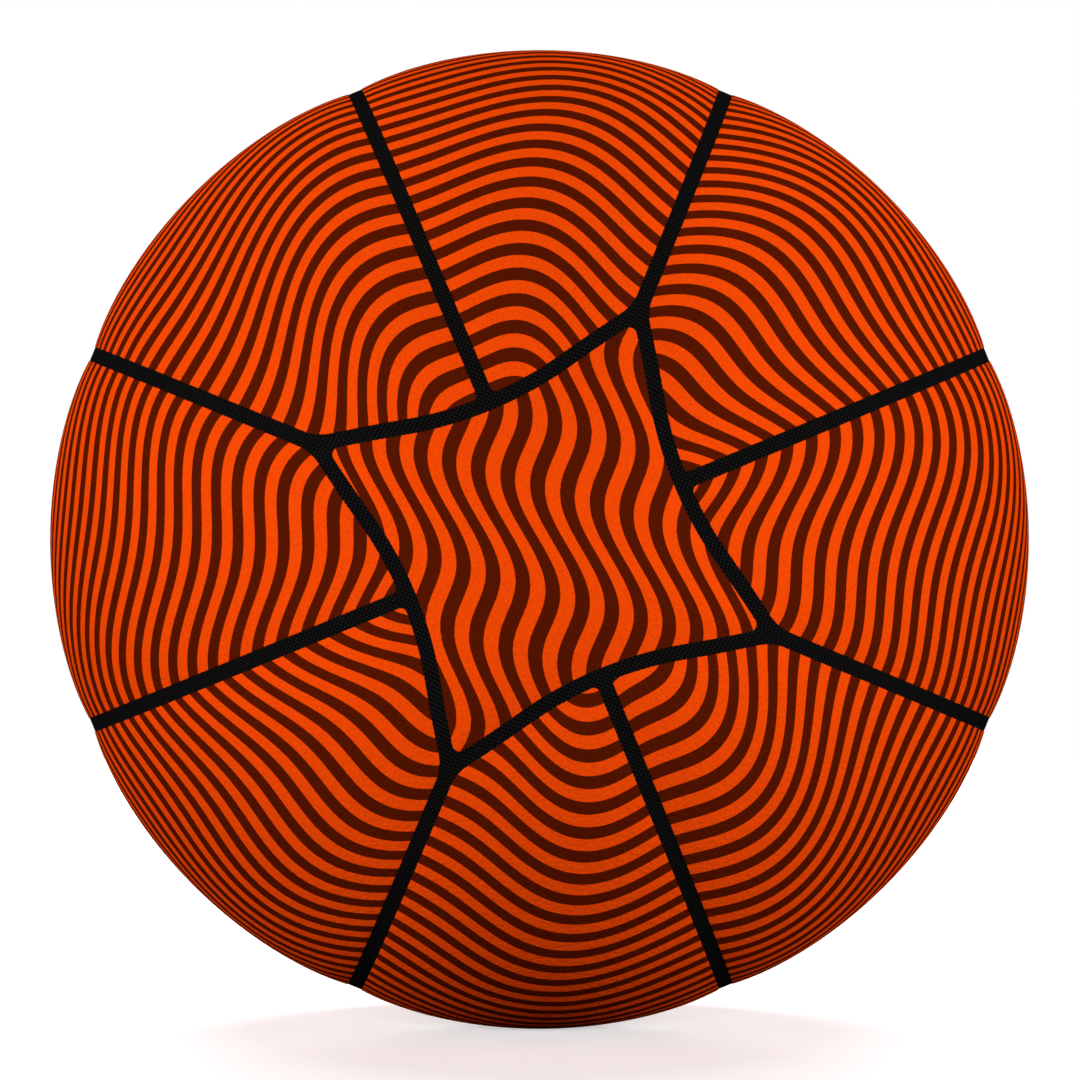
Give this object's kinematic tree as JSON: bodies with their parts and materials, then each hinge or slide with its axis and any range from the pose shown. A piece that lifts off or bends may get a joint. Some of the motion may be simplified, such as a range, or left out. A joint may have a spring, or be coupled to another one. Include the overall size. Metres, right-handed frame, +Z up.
{
  "type": "basketball",
  "caption": "Inflated ball with star-shaped end caps and long side panels parted by recessed channels, striped cover, wound core and a needle valve.",
  "frame": {"origin": "centre of the ball", "axes": "+Y through the valve at the back pole of the pattern, -Y through the front star cap, +Z up"},
  "size_m": [0.2386, 0.2385, 0.2386],
  "materials": {
    "printed_cover": "satin",
    "foam_pad": "matte",
    "channel_rubber": "matte",
    "carcass_rubber": "matte",
    "nylon_thread": "matte",
    "bladder_rubber": "satin",
    "valve_rubber": "satin",
    "valve_core_rubber": "satin"
  },
  "bodies": {
    "root": {"side_panel_1": "printed_cover", "side_panel_2": "printed_cover", "side_panel_3": "printed_cover", "side_panel_4": "printed_cover", "side_panel_5": "printed_cover", "side_panel_6": "printed_cover", "side_panel_7": "printed_cover", "side_panel_8": "printed_cover", "cap_panel_front": "printed_cover", "cap_panel_back": "printed_cover", "side_pad_1": "foam_pad", "side_pad_2": "foam_pad", "side_pad_3": "foam_pad", "side_pad_4": "foam_pad", "side_pad_5": "foam_pad", "side_pad_6": "foam_pad", "side_pad_7": "foam_pad", "side_pad_8": "foam_pad", "cap_pad_front": "foam_pad", "cap_pad_back": "foam_pad", "long_channel_1": "channel_rubber", "long_channel_2": "channel_rubber", "long_channel_3": "channel_rubber", "long_channel_4": "channel_rubber", "long_channel_5": "channel_rubber", "long_channel_6": "channel_rubber", "long_channel_7": "channel_rubber", "long_channel_8": "channel_rubber", "front_cap_channel_1": "channel_rubber", "front_cap_channel_2": "channel_rubber", "front_cap_channel_3": "channel_rubber", "front_cap_channel_4": "channel_rubber", "back_cap_channel_1": "channel_rubber", "back_cap_channel_2": "channel_rubber", "back_cap_channel_3": "channel_rubber", "back_cap_channel_4": "channel_rubber", "carcass": "carcass_rubber", "thread_winding": "nylon_thread", "bladder": "bladder_rubber", "valve_housing": "valve_rubber", "valve_core": "valve_core_rubber"}
  },
  "joints": []
}
